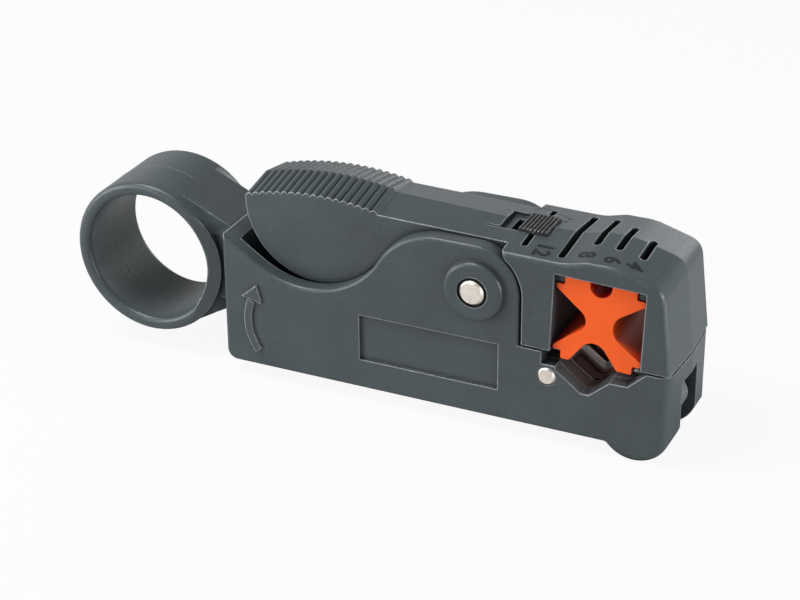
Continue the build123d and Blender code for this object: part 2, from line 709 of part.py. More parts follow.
def gauge_slide():
    """The ribbed button, with a stem that ends in a waist and a foot for the clip."""
    top = HEAD_TOP_Z + SLIDE_PROUD
    low_x = SLIDE_X - SLIDE_LENGTH / 2
    base = box((low_x, TRACK_Z + CLIP_CLEARANCE), (low_x + SLIDE_LENGTH, HEAD_TOP_Z))
    part = both_sides(base, SLIDE_WIDTH / 2)
    pitch = SLIDE_LENGTH / SLIDE_RIBS
    radius = pitch * 0.36
    for rib in range(SLIDE_RIBS):
        x = low_x + (rib + 0.5) * pitch
        flank = box((x - radius, HEAD_TOP_Z - 0.1), (x + radius, top - radius))
        part += both_sides(flank + Pos(x, top - radius) * Circle(radius), SLIDE_WIDTH / 2)
    waist_z = HEAD_CEILING_Z - CLIP_CLEARANCE
    foot_z = waist_z - CLIP_THICKNESS - CLIP_CLEARANCE
    half = STEM_LENGTH / 2
    stem = box((SLIDE_X - half, waist_z), (SLIDE_X + half, HEAD_TOP_Z))
    foot = box((SLIDE_X - half, foot_z - STEM_FOOT), (SLIDE_X + half, foot_z))
    waist = box((SLIDE_X - half + STEM_WAIST, foot_z), (SLIDE_X + half - STEM_WAIST, waist_z))
    part += both_sides(stem + foot, STEM_WIDTH / 2)
    return part + both_sides(waist, STEM_WIDTH / 2 - STEM_WAIST)


def slide_clip():
    """A flat clip pushed over the waist of the stem from the front."""
    top = HEAD_CEILING_Z - CLIP_CLEARANCE
    low = SLIDE_X - CLIP_LENGTH / 2
    clip = both_sides(box((low, top - CLIP_THICKNESS), (low + CLIP_LENGTH, top)), CLIP_WIDTH / 2)
    slot_start = SLIDE_X - STEM_LENGTH / 2 + STEM_WAIST - CLIP_CLEARANCE
    slot = box((slot_start, 0), (low + CLIP_LENGTH + 1, FAR))
    return clip - both_sides(slot, STEM_WIDTH / 2 - STEM_WAIST + CLIP_CLEARANCE)


# Pins, screws and spring

def pin(x, z, radius, half):
    bar = cross_bar(x, z, radius, half)
    return chamfer(bar.edges().filter_by(GeomType.CIRCLE), PIN_EDGE)


def pivot_pin():
    return pin(PIVOT_X, PIVOT_Z, PIN_RADIUS, HALF + BOSS_HEIGHT + PIN_PROUD)


def cassette_pin():
    return pin(CASSETTE_PIN_X, CASSETTE_PIN_Z, CASSETTE_PIN_RADIUS, HALF + PIN_PROUD / 2)


def depth_screw(row):
    top = BLADE_BACK_Z - SCREW_SEAT
    bottom = TOE_Z - TOE_RADIUS + 1.2
    screw = Pos(0, 0, (top + bottom) / 2) * Cylinder(SCREW_RADIUS, top - bottom)
    screw = chamfer(screw.edges().sort_by(Axis.Z)[-1], 0.3)
    socket = extrude(RegularPolygon(SCREW_SOCKET / 2, 6, major_radius=False), amount=SCREW_SOCKET_DEPTH)
    screw -= Pos(0, 0, bottom - 0.01) * socket
    return Pos(SCREW_X, row * BLADE_PITCH, 0) * screw


def cassette_screw():
    low = 0.1
    head = Pos(0, 0, (low + FIXING_HEAD) / 2) * Cylinder(FIXING_HEAD_RADIUS, FIXING_HEAD - low)
    shank = Pos(0, 0, FIXING_HEAD + FIXING_REACH / 2) * Cylinder(FIXING_RADIUS, FIXING_REACH)
    socket = Pos(0, 0, low) * extrude(RegularPolygon(FIXING_SOCKET / 2, 6, major_radius=False), amount=0.6)
    return Pos(FIXING_X, 0, 0) * (head + shank - socket)


def return_spring():
    rise = SPRING_TOP_Z - FLOOR - SPRING_WIRE
    pitch = rise / SPRING_TURNS
    path = Helix(pitch, rise, SPRING_RADIUS)
    start = path @ 0
    section = Plane(origin=start, z_dir=path % 0) * Circle(SPRING_WIRE / 2)
    coil = sweep(section, path)
    return Pos(SPRING_X, 0, FLOOR + SPRING_WIRE / 2) * coil


# Blades and cassette

def blade_vee(rise):
    """The vee of a blade, at a height over the vee in the walls."""
    bottom = VEE_BOTTOM_Z + rise
    reach = 9.0
    return polygon([
        (VEE_BOTTOM_X, bottom),
        (VEE_BOTTOM_X + reach, bottom + reach * BLADE_SLOPE),
        (VEE_BOTTOM_X - reach, bottom + reach * BLADE_SLOPE),
    ])


def blade_outline():
    eye = Pos(CASSETTE_PIN_X, CASSETTE_PIN_Z) * Circle(BLADE_EYE_RADIUS)
    shelf = VEE_FRONT_Z + 0.3
    body = polygon([
        (CASSETTE_PIN_X, BLADE_BACK_Z + 1.0),
        (CASSETTE_PIN_X + 3.5, BLADE_BACK_Z),
        (BLADE_TAIL_X, BLADE_BACK_Z),
        (BLADE_TAIL_X, shelf - 2.2),
        (BLADE_TAIL_X - 2.2, shelf),
        (CASSETTE_PIN_X, shelf),
    ])
    return body + eye - Pos(CASSETTE_PIN_X, CASSETTE_PIN_Z) * Circle(CASSETTE_PIN_RADIUS + PIN_CLEARANCE)


def blade(row):
    """A plate with a vee edge, bevelled on both faces."""
    y = row * BLADE_PITCH
    rise = BLADE_PROUD[row]
    part = plate(blade_outline() - blade_vee(rise), y - BLADE_THICKNESS / 2, y + BLADE_THICKNESS / 2)
    for side in (-1, 1):
        face = Pos(0, y + side * (BLADE_THICKNESS / 2 + 0.01), 0) * (
            Plane.XZ * blade_vee(rise - BLADE_BEVEL_HEIGHT)
        )
        edge = Pos(0, y + side * BLADE_EDGE / 2, 0) * (Plane.XZ * blade_vee(rise))
        part -= loft([face, edge], ruled=True)
    return largest(part)


def cassette_outline(drop):
    """The cassette's side view, with the vee lowered by drop from the one in the walls."""
    ledge = LEDGE_Z - CASSETTE_REST_DROP
    floor = FLOOR + CASSETTE_GAP
    outline = polygon([
        (CASSETTE_BACK_X, floor),
        (NOSE_X - 1.2, floor),
        (NOSE_X - 1.2, VEE_FRONT_Z - 2.8),
        (NOSE_X - 3.0, VEE_FRONT_Z),
        (VEE_FRONT_X, ledge),
        (CASSETTE_BACK_X, ledge),
    ])
    return outline - polygon(notch_outline(drop))


def blade_cassette():
    half = INNER_HALF - CASSETTE_GAP
    rest = plate(cassette_outline(CASSETTE_REST_DROP), -half, -BLADE_PITCH / 2)
    part = rest + plate(cassette_outline(CASSETTE_RELIEF_DROP), -BLADE_PITCH / 2, half)
    nose = Pos(NOSE_X, NOSE_Z) * Circle(NOSE_RADIUS)
    neck = box((NOSE_X - 3.0, FLOOR + CASSETTE_GAP), (NOSE_X, NOSE_Z + NOSE_RADIUS))
    part += both_sides(nose + neck, NOSE_WIDTH / 2)
    half_slot = BLADE_THICKNESS / 2 + BLADE_SLOT_CLEARANCE
    room = Pos(CASSETTE_PIN_X, CASSETTE_PIN_Z) * Circle(SPACER_ROOM)
    room += box((CASSETTE_PIN_X - SPACER_ROOM, CASSETTE_PIN_Z), (CASSETTE_PIN_X + SPACER_ROOM, FAR))
    part -= both_sides(room, BLADE_PITCH + half_slot)
    for row in (-1, 0, 1):
        slot = box((CASSETTE_PIN_X - SPACER_ROOM, BLADE_BACK_Z - 0.6), (BLADE_TAIL_X + 0.3, FAR))
        y = row * BLADE_PITCH
        part -= plate(slot, y - half_slot, y + half_slot)
        part -= Pos(SCREW_X, y, 0) * Cylinder(SCREW_RADIUS + 0.3, FAR)
    part -= cross_bar(CASSETTE_PIN_X, CASSETTE_PIN_Z, CASSETTE_PIN_RADIUS + SEAT_CLEARANCE, FAR)
    part -= Pos(FIXING_X, 0, 0) * Cylinder(FIXING_RADIUS + SEAT_CLEARANCE, 2 * (FIXING_REACH + FIXING_HEAD))
    return largest(part)


def blade_spacers():
    """Two washers on the cassette pin, between the blades."""
    gap = BLADE_PITCH - BLADE_THICKNESS - 2 * BLADE_SLOT_CLEARANCE
    ring = Pos(CASSETTE_PIN_X, CASSETTE_PIN_Z) * (
        Circle(SPACER_RADIUS) - Circle(CASSETTE_PIN_RADIUS + SEAT_CLEARANCE)
    )
    washers = []
    for place in (-0.5, 0.5):
        y = place * BLADE_PITCH
        washers.append(plate(ring, y - gap / 2, y + gap / 2))
    return Compound(children=washers)


def save(name, part, place):
    export_step(place * part, f"parts/{name}.step")


def main():
    os.makedirs("parts", exist_ok=True)
    middle_x = (RING_CENTRE_X - RING_RADIUS + FRONT_X) / 2
    place = Pos(-middle_x, 0, TOE_RADIUS - TOE_Z)
    save("body_frame", body_frame(), place)
    save("jaw_lever", jaw_lever(), place)
    save("v_block", v_block(), place)
    save("block_spring", block_spring(), place)
    save("gauge_slide", gauge_slide(), place)
    save("slide_clip", slide_clip(), place)
    save("pivot_pin", pivot_pin(), place)
    save("return_spring", return_spring(), place)
    save("blade_cassette", blade_cassette(), place)
    save("cassette_pin", cassette_pin(), place)
    save("cassette_screw", cassette_screw(), place)
    save("blade_spacers", blade_spacers(), place)
    for number, row in enumerate((-1, 0, 1), start=1):
        save(f"blade_{number}", blade(row), place)
        save(f"depth_screw_{number}", depth_screw(row), place)


main()
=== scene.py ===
import json
import math

import bmesh
import bpy
from mathutils import Matrix, Vector
from mathutils.bvhtree import BVHTree


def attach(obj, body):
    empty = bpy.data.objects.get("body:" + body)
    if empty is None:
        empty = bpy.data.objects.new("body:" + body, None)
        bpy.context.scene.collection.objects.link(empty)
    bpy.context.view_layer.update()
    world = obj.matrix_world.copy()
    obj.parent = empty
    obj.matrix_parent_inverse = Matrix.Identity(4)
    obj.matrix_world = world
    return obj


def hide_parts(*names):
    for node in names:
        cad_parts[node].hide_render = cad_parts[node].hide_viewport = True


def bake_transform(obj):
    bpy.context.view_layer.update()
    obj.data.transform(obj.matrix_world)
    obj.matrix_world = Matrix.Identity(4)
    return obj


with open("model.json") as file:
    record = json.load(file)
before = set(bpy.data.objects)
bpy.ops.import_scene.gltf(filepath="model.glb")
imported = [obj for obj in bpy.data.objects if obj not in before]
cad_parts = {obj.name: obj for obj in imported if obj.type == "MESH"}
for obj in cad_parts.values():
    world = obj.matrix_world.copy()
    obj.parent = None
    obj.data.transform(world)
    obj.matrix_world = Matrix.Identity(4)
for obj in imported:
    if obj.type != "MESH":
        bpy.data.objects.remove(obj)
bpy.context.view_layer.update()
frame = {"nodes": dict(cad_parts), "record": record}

# Looks for the coaxial cable stripper, in the frame of the CAD. Blender works in metres. Sizes and places
# on the tool are given in millimetres, and multiplied by MM where they are used.

MM = 0.001
NODES = frame["nodes"]

# Camera, solved from the photograph: place and clipping in metres, angles in degrees, lens in millimetres
CAMERA_AT = (0.13642, -0.28427, 0.17605)
CLIP_START = 0.01
CAMERA_AZIMUTH = 25.1
CAMERA_ELEVATION = 27.3
CAMERA_ROLL = -0.47
CAMERA_LENS = 99.19
SENSOR_WIDTH = 36.0

# Colours, as sRGB
PLASTIC = (0.248, 0.283, 0.297)
SLIDE_PLASTIC = (0.14, 0.145, 0.15)
CASSETTE_PLASTIC = (0.37, 0.395, 0.41)
# Painted highlight: the light colour mixed into the moulding along its outer edges
EDGE_HIGHLIGHT = (0.74, 0.765, 0.78)
ORANGE = (1.0, 0.38, 0.10)
# Painted shade in the cable block's hollows, a deeper red
ORANGE_SHADED = (0.78, 0.06, 0.01)
NICKEL = (0.95, 0.915, 0.875)
STEEL = (0.80, 0.80, 0.80)
SPRING = (0.62, 0.62, 0.61)
BLACK_STEEL = (0.24, 0.24, 0.25)
PRINT = (0.03, 0.03, 0.035)

# Moulded plastic: scales of its noises, depth of its grain, and how far it looks for crevices and
# cavities, which it paints in shade
CLOUD_SCALE = 90.0
GRAIN_SCALE = 2900.0
GRAIN_DEPTH = 0.05
EDGE_ROUNDING = 0.3
CREVICE_REACH = 1.1
CAVITY_REACH = 6.0
CAVITY_ROUGHNESS = 0.95
WORN_ROUGHNESS = 0.24
# Share of the painted highlight mixed into the colour along outer edges
EDGE_HIGHLIGHT_STRENGTH = 0.9
SHADER_SAMPLES = 6

# The body's rear face along X; places along the tool are measured from it
REAR_FACE_X = -23.6

# Ring and neck, and the angles round the ring where the neck leaves it
RING_CENTRE = Vector(frame["record"]["mounts"][0]["pos_m"]) / MM
RING_RADIUS = 13.2
RING_HALF = 7.8
RING_EDGE = 0.9
RIM_STEPS = 8
BORE_RADIUS = 11.0
NECK_HALF = 5.6
NECK_TOP_ANGLE = 67.6
NECK_FOOT_ANGLE = -58.8
NECK_STEPS = 60
NECK_REACH = 40.0
CUTTER_GAP = 0.01
CUTTER_MARGIN = 0.5
WELD_DISTANCE = 1e-7
SHARP_ANGLE = 28.0

# Mould lines round the ring, left out at its rearmost point, where they would leave the object's box
PARTING_WIDTH = 0.3
PARTING_PROUD = 0.06
PARTING_SUNK = 0.01
PARTING_STEPS = 120
PARTING_GAP = 10.0

# Numbers beside the gauge slots: text, place along X, place across, height of the glyphs
NUMERALS = (
    ("12", 53.65, -6.75, 2.55),
    ("8", 60.6, -6.8, 2.55),
    ("6", 64.8, -7.3, 2.55),
    ("4", 68.2, -6.75, 2.55),
)
NUMERAL_BOLD = 0.09
NUMERAL_LIFT = 0.03
NUMERAL_CUTS = 2
CURVE_STEPS = 4
GLYPH_SHARE = 0.7

# Fine line scribed round the far end of the slide's track, and its two pin marks: X, Y
SCRIBED_LINE = ((47.6, 5.3), (48.2, 6.9), (49.7, 6.7), (53.5, 4.7))
SCRIBED_WIDTH = 0.14
SCRIBED_STEPS = 12
PIN_MARKS = ((53.8, 4.4), (53.5, 3.0))
PIN_MARK_RADIUS = 0.28
PIN_MARK_STEPS = 16
MARK_LIFT = 0.02
ABOVE_ALL = 50.0

# Lamps: name, place in metres, diameter in metres, watts
LAMPS = (
    ("key", (-0.16, -0.10, 0.42), 0.20, 1.6),
    ("front_fill", (-0.38, -0.26, 0.10), 0.30, 1.5),
    ("nose_side", (0.50, -0.02, 0.03), 0.30, 3.1),
    ("rear_fill", (0.05, 0.55, 0.03), 0.30, 0.8),
)
LAMP_TARGET = (0.0, 0.0, 0.015)

# Surroundings: light on matt surfaces, and light in reflections from low to high directions
SKY = 0.20
HORIZON = 0.9
ZENITH = 0.25
HORIZON_HEIGHT = 0.15
ZENITH_HEIGHT = 0.75

# Floor: half its side in metres, its grey, and how white the camera sees it
FLOOR_HALF = 6.0
FLOOR_GREY = 0.62
FLOOR_ROUGHNESS = 0.9
FLOOR_WHITENED = 0.92


# Colours

def linear(colour):
    """sRGB to the linear values that shaders take."""
    values = [c / 12.92 if c <= 0.04045 else ((c + 0.055) / 1.055) ** 2.4 for c in colour]
    return (*values, 1.0)


def scaled(colour, factor):
    """A linear colour, lighter or darker."""
    return (*(min(1.0, c * factor) for c in colour[:3]), 1.0)


# Node helpers

def new_material(name):
    material = bpy.data.materials.new(name)
    material.use_nodes = True
    nodes = material.node_tree.nodes
    return material, nodes, material.node_tree.links, nodes["Principled BSDF"]


def object_coordinates(nodes):
    return nodes.new("ShaderNodeTexCoord").outputs["Object"]


def feed(links, value, socket):
    """Link an output, or write a plain number."""
    if isinstance(value, (int, float)):
        socket.default_value = value
    else:
        links.new(value, socket)


def noise(nodes, links, coordinates, scale, detail, roughness=0.5):
    node = nodes.new("ShaderNodeTexNoise")
    node.inputs["Scale"].default_value = scale
    node.inputs["Detail"].default_value = detail
    node.inputs["Roughness"].default_value = roughness
    links.new(coordinates, node.inputs["Vector"])
    return node.outputs["Fac"]


def ramp(nodes, links, factor, stops):
    """A colour ramp; stops are (position, colour) with linear colours."""
    node = nodes.new("ShaderNodeValToRGB")
    elements = node.color_ramp.elements
    for element, (position, colour) in zip(elements, stops):
        element.position = position
        element.color = colour
    links.new(factor, node.inputs["Fac"])
    return node.outputs["Color"]


def stretched(nodes, links, value, start, end, low, high):
    """Value between start and end, spread over low to high and held beyond them."""
    node = nodes.new("ShaderNodeMapRange")
    node.inputs["From Min"].default_value = start
    node.inputs["From Max"].default_value = end
    node.inputs["To Min"].default_value = low
    node.inputs["To Max"].default_value = high
    links.new(value, node.inputs["Value"])
    return node.outputs["Result"]


def varied(nodes, links, marks, low, high):
    """A noise's usual values, spread over low to high."""
    return stretched(nodes, links, marks, 0.3, 0.7, low, high)


def bump(nodes, links, height, depth, strength, normal=None):
    node = nodes.new("ShaderNodeBump")
    node.inputs["Strength"].default_value = strength
    node.inputs["Distance"].default_value = depth * MM
    links.new(height, node.inputs["Height"])
    if normal is not None:
        links.new(normal, node.inputs["Normal"])
    return node.outputs["Normal"]


def mixed(nodes, links, factor, first, second):
    """Number between two others."""
    node = nodes.new("ShaderNodeMix")
    sockets = (node.inputs[0], node.inputs[2], node.inputs[3])
    for value, socket in zip((factor, first, second), sockets):
        feed(links, value, socket)
    return node.outputs[0]


def mixed_colour(nodes, links, factor, first, second):
    """Colour between a linked one and a fixed one."""
    node = nodes.new("ShaderNodeMix")
    node.data_type = "RGBA"
    links.new(factor, node.inputs[0])
    links.new(first, node.inputs[6])
    node.inputs[7].default_value = linear(second)
    return node.outputs[2]


def times(nodes, links, first, second):
    node = nodes.new("ShaderNodeMath")
    node.operation = "MULTIPLY"
    feed(links, first, node.inputs[0])
    feed(links, second, node.inputs[1])
    return node.outputs["Value"]


def rounded_normal(nodes, radius):
    node = nodes.new("ShaderNodeBevel")
    node.samples = SHADER_SAMPLES
    node.inputs["Radius"].default_value = radius * MM
    return node.outputs["Normal"]


def occlusion(nodes, reach):
    """One in the open, towards none deep in a corner."""
    node = nodes.new("ShaderNodeAmbientOcclusion")
    node.samples = SHADER_SAMPLES
    node.inputs["Distance"].default_value = reach * MM
    return node.outputs["AO"]


def highlit_and_polished_edges(nodes, links, rounded, openness, marks):
    """Outer edges, which get a painted highlight and a polish: the rounded normal leaves the flat one
    where nothing stands close by.
    """
    flat = nodes.new("ShaderNodeNewGeometry").outputs["Normal"]
    dot = nodes.new("ShaderNodeVectorMath")
    dot.operation = "DOT_PRODUCT"
    links.new(rounded, dot.inputs[0])
    links.new(flat, dot.inputs[1])
    turned = stretched(nodes, links, dot.outputs["Value"], start=0.99, end=0.9, low=0.0, high=1.0)
    outer = stretched(nodes, links, openness, start=0.72, end=0.92, low=0.0, high=1.0)
    patchy = stretched(nodes, links, marks, start=0.35, end=0.6, low=0.55, high=1.0)
    return times(nodes, links, times(nodes, links, turned, outer), patchy)


def shaded_and_highlit(nodes, links, tint, shade, edge):
    """The tint, darkened by the painted shade passed in, and lightened along outer edges by a painted
    highlight.
    """
    darker = nodes.new("ShaderNodeVectorMath")
    darker.operation = "SCALE"
    links.new(tint, darker.inputs[0])
    links.new(shade, darker.inputs["Scale"])
    # Painted highlight along the outer edges
    highlight = times(nodes, links, edge, EDGE_HIGHLIGHT_STRENGTH)
    return mixed_colour(nodes, links, highlight, darker.outputs["Vector"], EDGE_HIGHLIGHT)


# Materials

def moulded_plastic(name, colour, gloss=0.37):
    """Satin moulding: spark grain, cloudy variation, painted shade in crevices and cavities, and polished
    edges with a painted highlight.
    """
    material, nodes, links, shader = new_material(name)
    place = object_coordinates(nodes)
    base = linear(colour)
    cloud = noise(nodes, links, place, CLOUD_SCALE, detail=4.0)
    fine = noise(nodes, links, place, GRAIN_SCALE, detail=3.0, roughness=0.65)
    mottle = mixed(nodes, links, 0.55, cloud, fine)
    tint = ramp(nodes, links, mottle, [(0.35, scaled(base, 0.8)), (0.65, scaled(base, 1.18))])
    rounded = rounded_normal(nodes, EDGE_ROUNDING)
    openness = occlusion(nodes, CREVICE_REACH)
    deep = occlusion(nodes, CAVITY_REACH)
    edge = highlit_and_polished_edges(nodes, links, rounded, openness, fine)
    # Painted shade: darker in crevices and deep in cavities, where less light reaches
    crevice = stretched(nodes, links, openness, start=0.4, end=0.95, low=0.32, high=1.0)
    cavity = stretched(nodes, links, deep, start=0.14, end=0.6, low=0.12, high=1.0)
    shade = times(nodes, links, crevice, cavity)
    links.new(shaded_and_highlit(nodes, links, tint, shade, edge), shader.inputs["Base Color"])
    satin = varied(nodes, links, cloud, gloss - 0.03, gloss + 0.05)
    open_share = stretched(nodes, links, deep, start=0.15, end=0.6, low=0.0, high=1.0)
    matt = mixed(nodes, links, open_share, CAVITY_ROUGHNESS, satin)
    links.new(mixed(nodes, links, edge, matt, WORN_ROUGHNESS), shader.inputs["Roughness"])
    links.new(bump(nodes, links, fine, GRAIN_DEPTH, 0.7, rounded), shader.inputs["Normal"])
    return material


def orange_plastic():
    """Bright, slightly translucent moulding of the cable block, with painted shade, a deeper red, in its
    hollows.
    """
    material, nodes, links, shader = new_material("orange_plastic")
    place = object_coordinates(nodes)
    base = linear(ORANGE)
    cloud = noise(nodes, links, place, scale=130.0, detail=3.0)
    fine = noise(nodes, links, place, scale=3600.0, detail=2.0, roughness=0.55)
    glow = ramp(nodes, links, cloud, [(0.3, scaled(base, 0.95)), (0.7, scaled(base, 1.04))])
    # Painted shade: deeper red where the block's hollows close in
    hollow_shade = stretched(nodes, links, occlusion(nodes, 5.0), start=0.25, end=0.8, low=1.0, high=0.0)
    links.new(mixed_colour(nodes, links, hollow_shade, glow, ORANGE_SHADED), shader.inputs["Base Color"])
    links.new(varied(nodes, links, fine, 0.42, 0.54), shader.inputs["Roughness"])
    shader.inputs["Specular IOR Level"].default_value = 0.35
    shader.inputs["Subsurface Weight"].default_value = 0.12
    shader.inputs["Subsurface Radius"].default_value = (1.0, 0.35, 0.15)
    shader.inputs["Subsurface Scale"].default_value = 0.8 * MM
    rounded = rounded_normal(nodes, 0.2)
    links.new(bump(nodes, links, fine, 0.008, 0.6, rounded), shader.inputs["Normal"])
    return material


def metal(name, colour, roughness, stretch=(1.0, 1.0, 1.0), scale=2600.0, depth=0.006, metallic=1.0):
    """Metal with fine machining marks; stretch draws the marks out along an axis."""
    material, nodes, links, shader = new_material(name)
    mapping = nodes.new("ShaderNodeMapping")
    mapping.inputs["Scale"].default_value = stretch
    links.new(object_coordinates(nodes), mapping.inputs["Vector"])
    marks = noise(nodes, links, mapping.outputs["Vector"], scale, detail=3.0, roughness=0.6)
    base = linear(colour)
    tint = ramp(nodes, links, marks, [(0.3, scaled(base, 0.88)), (0.7, scaled(base, 1.08))])
    links.new(tint, shader.inputs["Base Color"])
    shader.inputs["Metallic"].default_value = metallic
    links.new(varied(nodes, links, marks, roughness * 0.8, roughness * 1.2), shader.inputs["Roughness"])
    links.new(bump(nodes, links, marks, depth, 0.5), shader.inputs["Normal"])
    return material


def print_ink():
    material, nodes, links, shader = new_material("print_ink")
    base = linear(PRINT)
    patches = noise(nodes, links, object_coordinates(nodes), scale=2400.0, detail=2.0)
    tint = ramp(nodes, links, patches, [(0.35, scaled(base, 0.8)), (0.7, scaled(base, 1.5))])
    links.new(tint, shader.inputs["Base Color"])
    links.new(varied(nodes, links, patches, 0.5, 0.65), shader.inputs["Roughness"])
    return material


def dress_nodes():
    """Give each CAD node its material, and add the pieces that share the moulding's and the wire's."""
    plastic = moulded_plastic("moulded_plastic", PLASTIC)
    dark = moulded_plastic("slide_plastic", SLIDE_PLASTIC, gloss=0.46)
    holder = moulded_plastic("cassette_plastic", CASSETTE_PLASTIC, gloss=0.5)
    nickel = metal("nickel", NICKEL, roughness=0.34, scale=1500.0, depth=0.03)
    blade = metal("blade_steel", STEEL, roughness=0.38, stretch=(0.15, 1.0, 1.0), metallic=0.6)
    wire = metal("spring_wire", SPRING, roughness=0.3)
    black = metal("black_steel", BLACK_STEEL, roughness=0.45)
    looks = {
        plastic: ["body_frame", "jaw_lever"],
        dark: ["gauge_slide"],
        holder: ["blade_cassette"],
        orange_plastic(): ["v_block"],
        nickel: ["pivot_pin", "cassette_pin"],
        blade: ["blade_1", "blade_2", "blade_3", "blade_spacers"],
        wire: ["return_spring", "block_spring", "slide_clip"],
        black: ["cassette_screw", "depth_screw_1", "depth_screw_2", "depth_screw_3"],
    }
    for material, names in looks.items():
        for name in names:
            for slot in NODES[name].material_slots:
                slot.material = material
    body_moulding(plastic)
    return_coil(wire)
    add_parting_lines(plastic)


# Mesh helpers

def new_piece(name, mesh):
    piece = bpy.data.objects.new(name, mesh)
    bpy.context.scene.collection.objects.link(piece)
    return piece


def piece_from(name, shape):
    """Turn a finished bmesh into an object."""
    mesh = bpy.data.meshes.new(name)
    shape.to_mesh(mesh)
    shape.free()
    return new_piece(name, mesh)


def finish_with(piece, material):
    piece.data.materials.clear()
    piece.data.materials.append(material)


def join_rows(shape, rows, closed=False):
    """Quads between neighbouring rows of vertices; closed joins the ends of each row too."""
    for here, there in zip(rows, rows[1:]):
        for a in range(len(here) if closed else len(here) - 1):
            b = (a + 1) % len(here)
            shape.faces.new((here[a], here[b], there[b], there[a]))


def apply_modifiers(piece):
    bpy.context.view_layer.update()
    graph = bpy.context.evaluated_depsgraph_get()
    mesh = bpy.data.meshes.new_from_object(piece.evaluated_get(graph), depsgraph=graph)
    piece.modifiers.clear()
    piece.data = mesh


# Ring and neck

def ring_row(shape, angle, spots):
    """Vertices at an angle in degrees round the ring's axis; spots are (across, radius)."""
    turn = math.radians(angle)
    return [
        shape.verts.new((
            (RING_CENTRE.x + radius * math.cos(turn)) * MM,
            across * MM,
            (RING_CENTRE.z + radius * math.sin(turn)) * MM,
        ))
        for across, radius in spots
    ]


def rim_spots():
    """Across and radius, from the neck's new side along the ring and out over its rounded rim."""
    flat = RING_HALF - RING_EDGE
    inner = RING_RADIUS - RING_EDGE
    spots = [(NECK_HALF, RING_RADIUS), (flat, RING_RADIUS)]
    for step in range(1, RIM_STEPS + 1):
        turn = math.pi / 2 * step / RIM_STEPS
        spots.append((flat + RING_EDGE * math.sin(turn), inner + RING_EDGE * math.cos(turn)))
    spots.append((RING_HALF + CUTTER_MARGIN, inner))
    return [(across, radius + CUTTER_GAP) for across, radius in spots]


def ring_cutter(side):
    """What is taken off the neck on one side, so that the ring's rounded rim runs on in front of it."""
    rim = rim_spots()
    rear = REAR_FACE_X - RING_CENTRE.x
    shape = bmesh.new()
    rows = []
    for step in range(NECK_STEPS + 1):
        share = step / NECK_STEPS
        angle = NECK_FOOT_ANGLE + (NECK_TOP_ANGLE - NECK_FOOT_ANGLE) * share
        reach = min(rear / math.cos(math.radians(angle)), NECK_REACH)
        spots = rim + [(rim[-1][0], reach), (rim[0][0], reach)]
        rows.append(ring_row(shape, angle, [(side * across, radius) for across, radius in spots]))
    join_rows(shape, rows, closed=True)
    shape.faces.new(rows[0])
    shape.faces.new(rows[-1])
    bmesh.ops.recalc_face_normals(shape, faces=shape.faces)
    return piece_from("ring_cutter", shape)


def store_normals(mesh):
    """Write each corner's exact normal beside it, so that the cut hands it on."""
    normals = [corner.vector[:] for corner in mesh.corner_normals]
    store = mesh.attributes.new("exact_normal", "FLOAT_VECTOR", "CORNER")
    store.data.foreach_set("vector", [value for normal in normals for value in normal])


def restore_normals(mesh):
    """The kept faces get their exact normals back; the cut's own faces are smoothed."""
    values = [0.0] * (3 * len(mesh.loops))
    mesh.attributes["exact_normal"].data.foreach_get("vector", values)
    mesh.attributes.remove(mesh.attributes["exact_normal"])
    for polygon in mesh.polygons:
        polygon.use_smooth = True
    mesh.set_sharp_from_angle(angle=math.radians(SHARP_ANGLE))
    mesh.normals_split_custom_set([values[i:i + 3] for i in range(0, len(values), 3)])


def weld(mesh):
    """Join vertices that lie on each other, so that the mesh is closed."""
    shape = bmesh.new()
    shape.from_mesh(mesh)
    bmesh.ops.remove_doubles(shape, verts=shape.verts, dist=WELD_DISTANCE)
    shape.to_mesh(mesh)
    shape.free()


def body_moulding(material):
    """The body with its neck set back behind the ring's rims."""
    mesh = NODES["body_frame"].data.copy()
    store_normals(mesh)
    weld(mesh)
    piece = new_piece("body_moulding", mesh)
    cutters = [ring_cutter(side) for side in (-1, 1)]
    for cutter in cutters:
        cut = piece.modifiers.new("cut", "BOOLEAN")
        cut.operation = "DIFFERENCE"
        cut.solver = "EXACT"
        cut.object = cutter
    apply_modifiers(piece)
    for cutter in cutters:
        bpy.data.objects.remove(cutter)
    restore_normals(piece.data)
    finish_with(piece, material)
    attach(piece, "body")
    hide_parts("body_frame")


def parting_line(name, material, radius, proud, start, end):
    """The faint ridge that the mould leaves round the ring, halfway across."""
    spots = ((-PARTING_WIDTH / 2, radius), (0.0, radius + proud), (PARTING_WIDTH / 2, radius))
    shape = bmesh.new()
    rows = []
    for step in range(PARTING_STEPS + 1):
        rows.append(ring_row(shape, start + (end - start) * step / PARTING_STEPS, spots))
    join_rows(shape, rows)
    piece = piece_from(name, shape)
    finish_with(piece, material)
    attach(piece, "body")


def add_parting_lines(material):
    bore = BORE_RADIUS + PARTING_SUNK
    outside = RING_RADIUS - PARTING_SUNK
    lines = (
        ("parting_line_bore", bore, -PARTING_PROUD, 0.0, 360.0),
        ("parting_line_top", outside, PARTING_PROUD, NECK_TOP_ANGLE, 180.0 - PARTING_GAP),
        ("parting_line_foot", outside, PARTING_PROUD, 180.0 + PARTING_GAP, 360.0 + NECK_FOOT_ANGLE),
    )
    for name, radius, proud, start, end in lines:
        parting_line(name, material, radius, proud, start, end)


# Return spring

def return_coil(material):
    """The return spring, copied from its CAD node, which it stands in for."""
    piece = new_piece("return_coil", NODES["return_spring"].data.copy())
    finish_with(piece, material)
    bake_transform(piece)
    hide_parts("return_spring")


# Numbers and marks on the lever

def surface_tree(node):
    mesh = NODES[node].data
    points = [v.co.copy() for v in mesh.vertices]
    faces = [tuple(p.vertices) for p in mesh.polygons]
    return BVHTree.FromPolygons(points, faces)


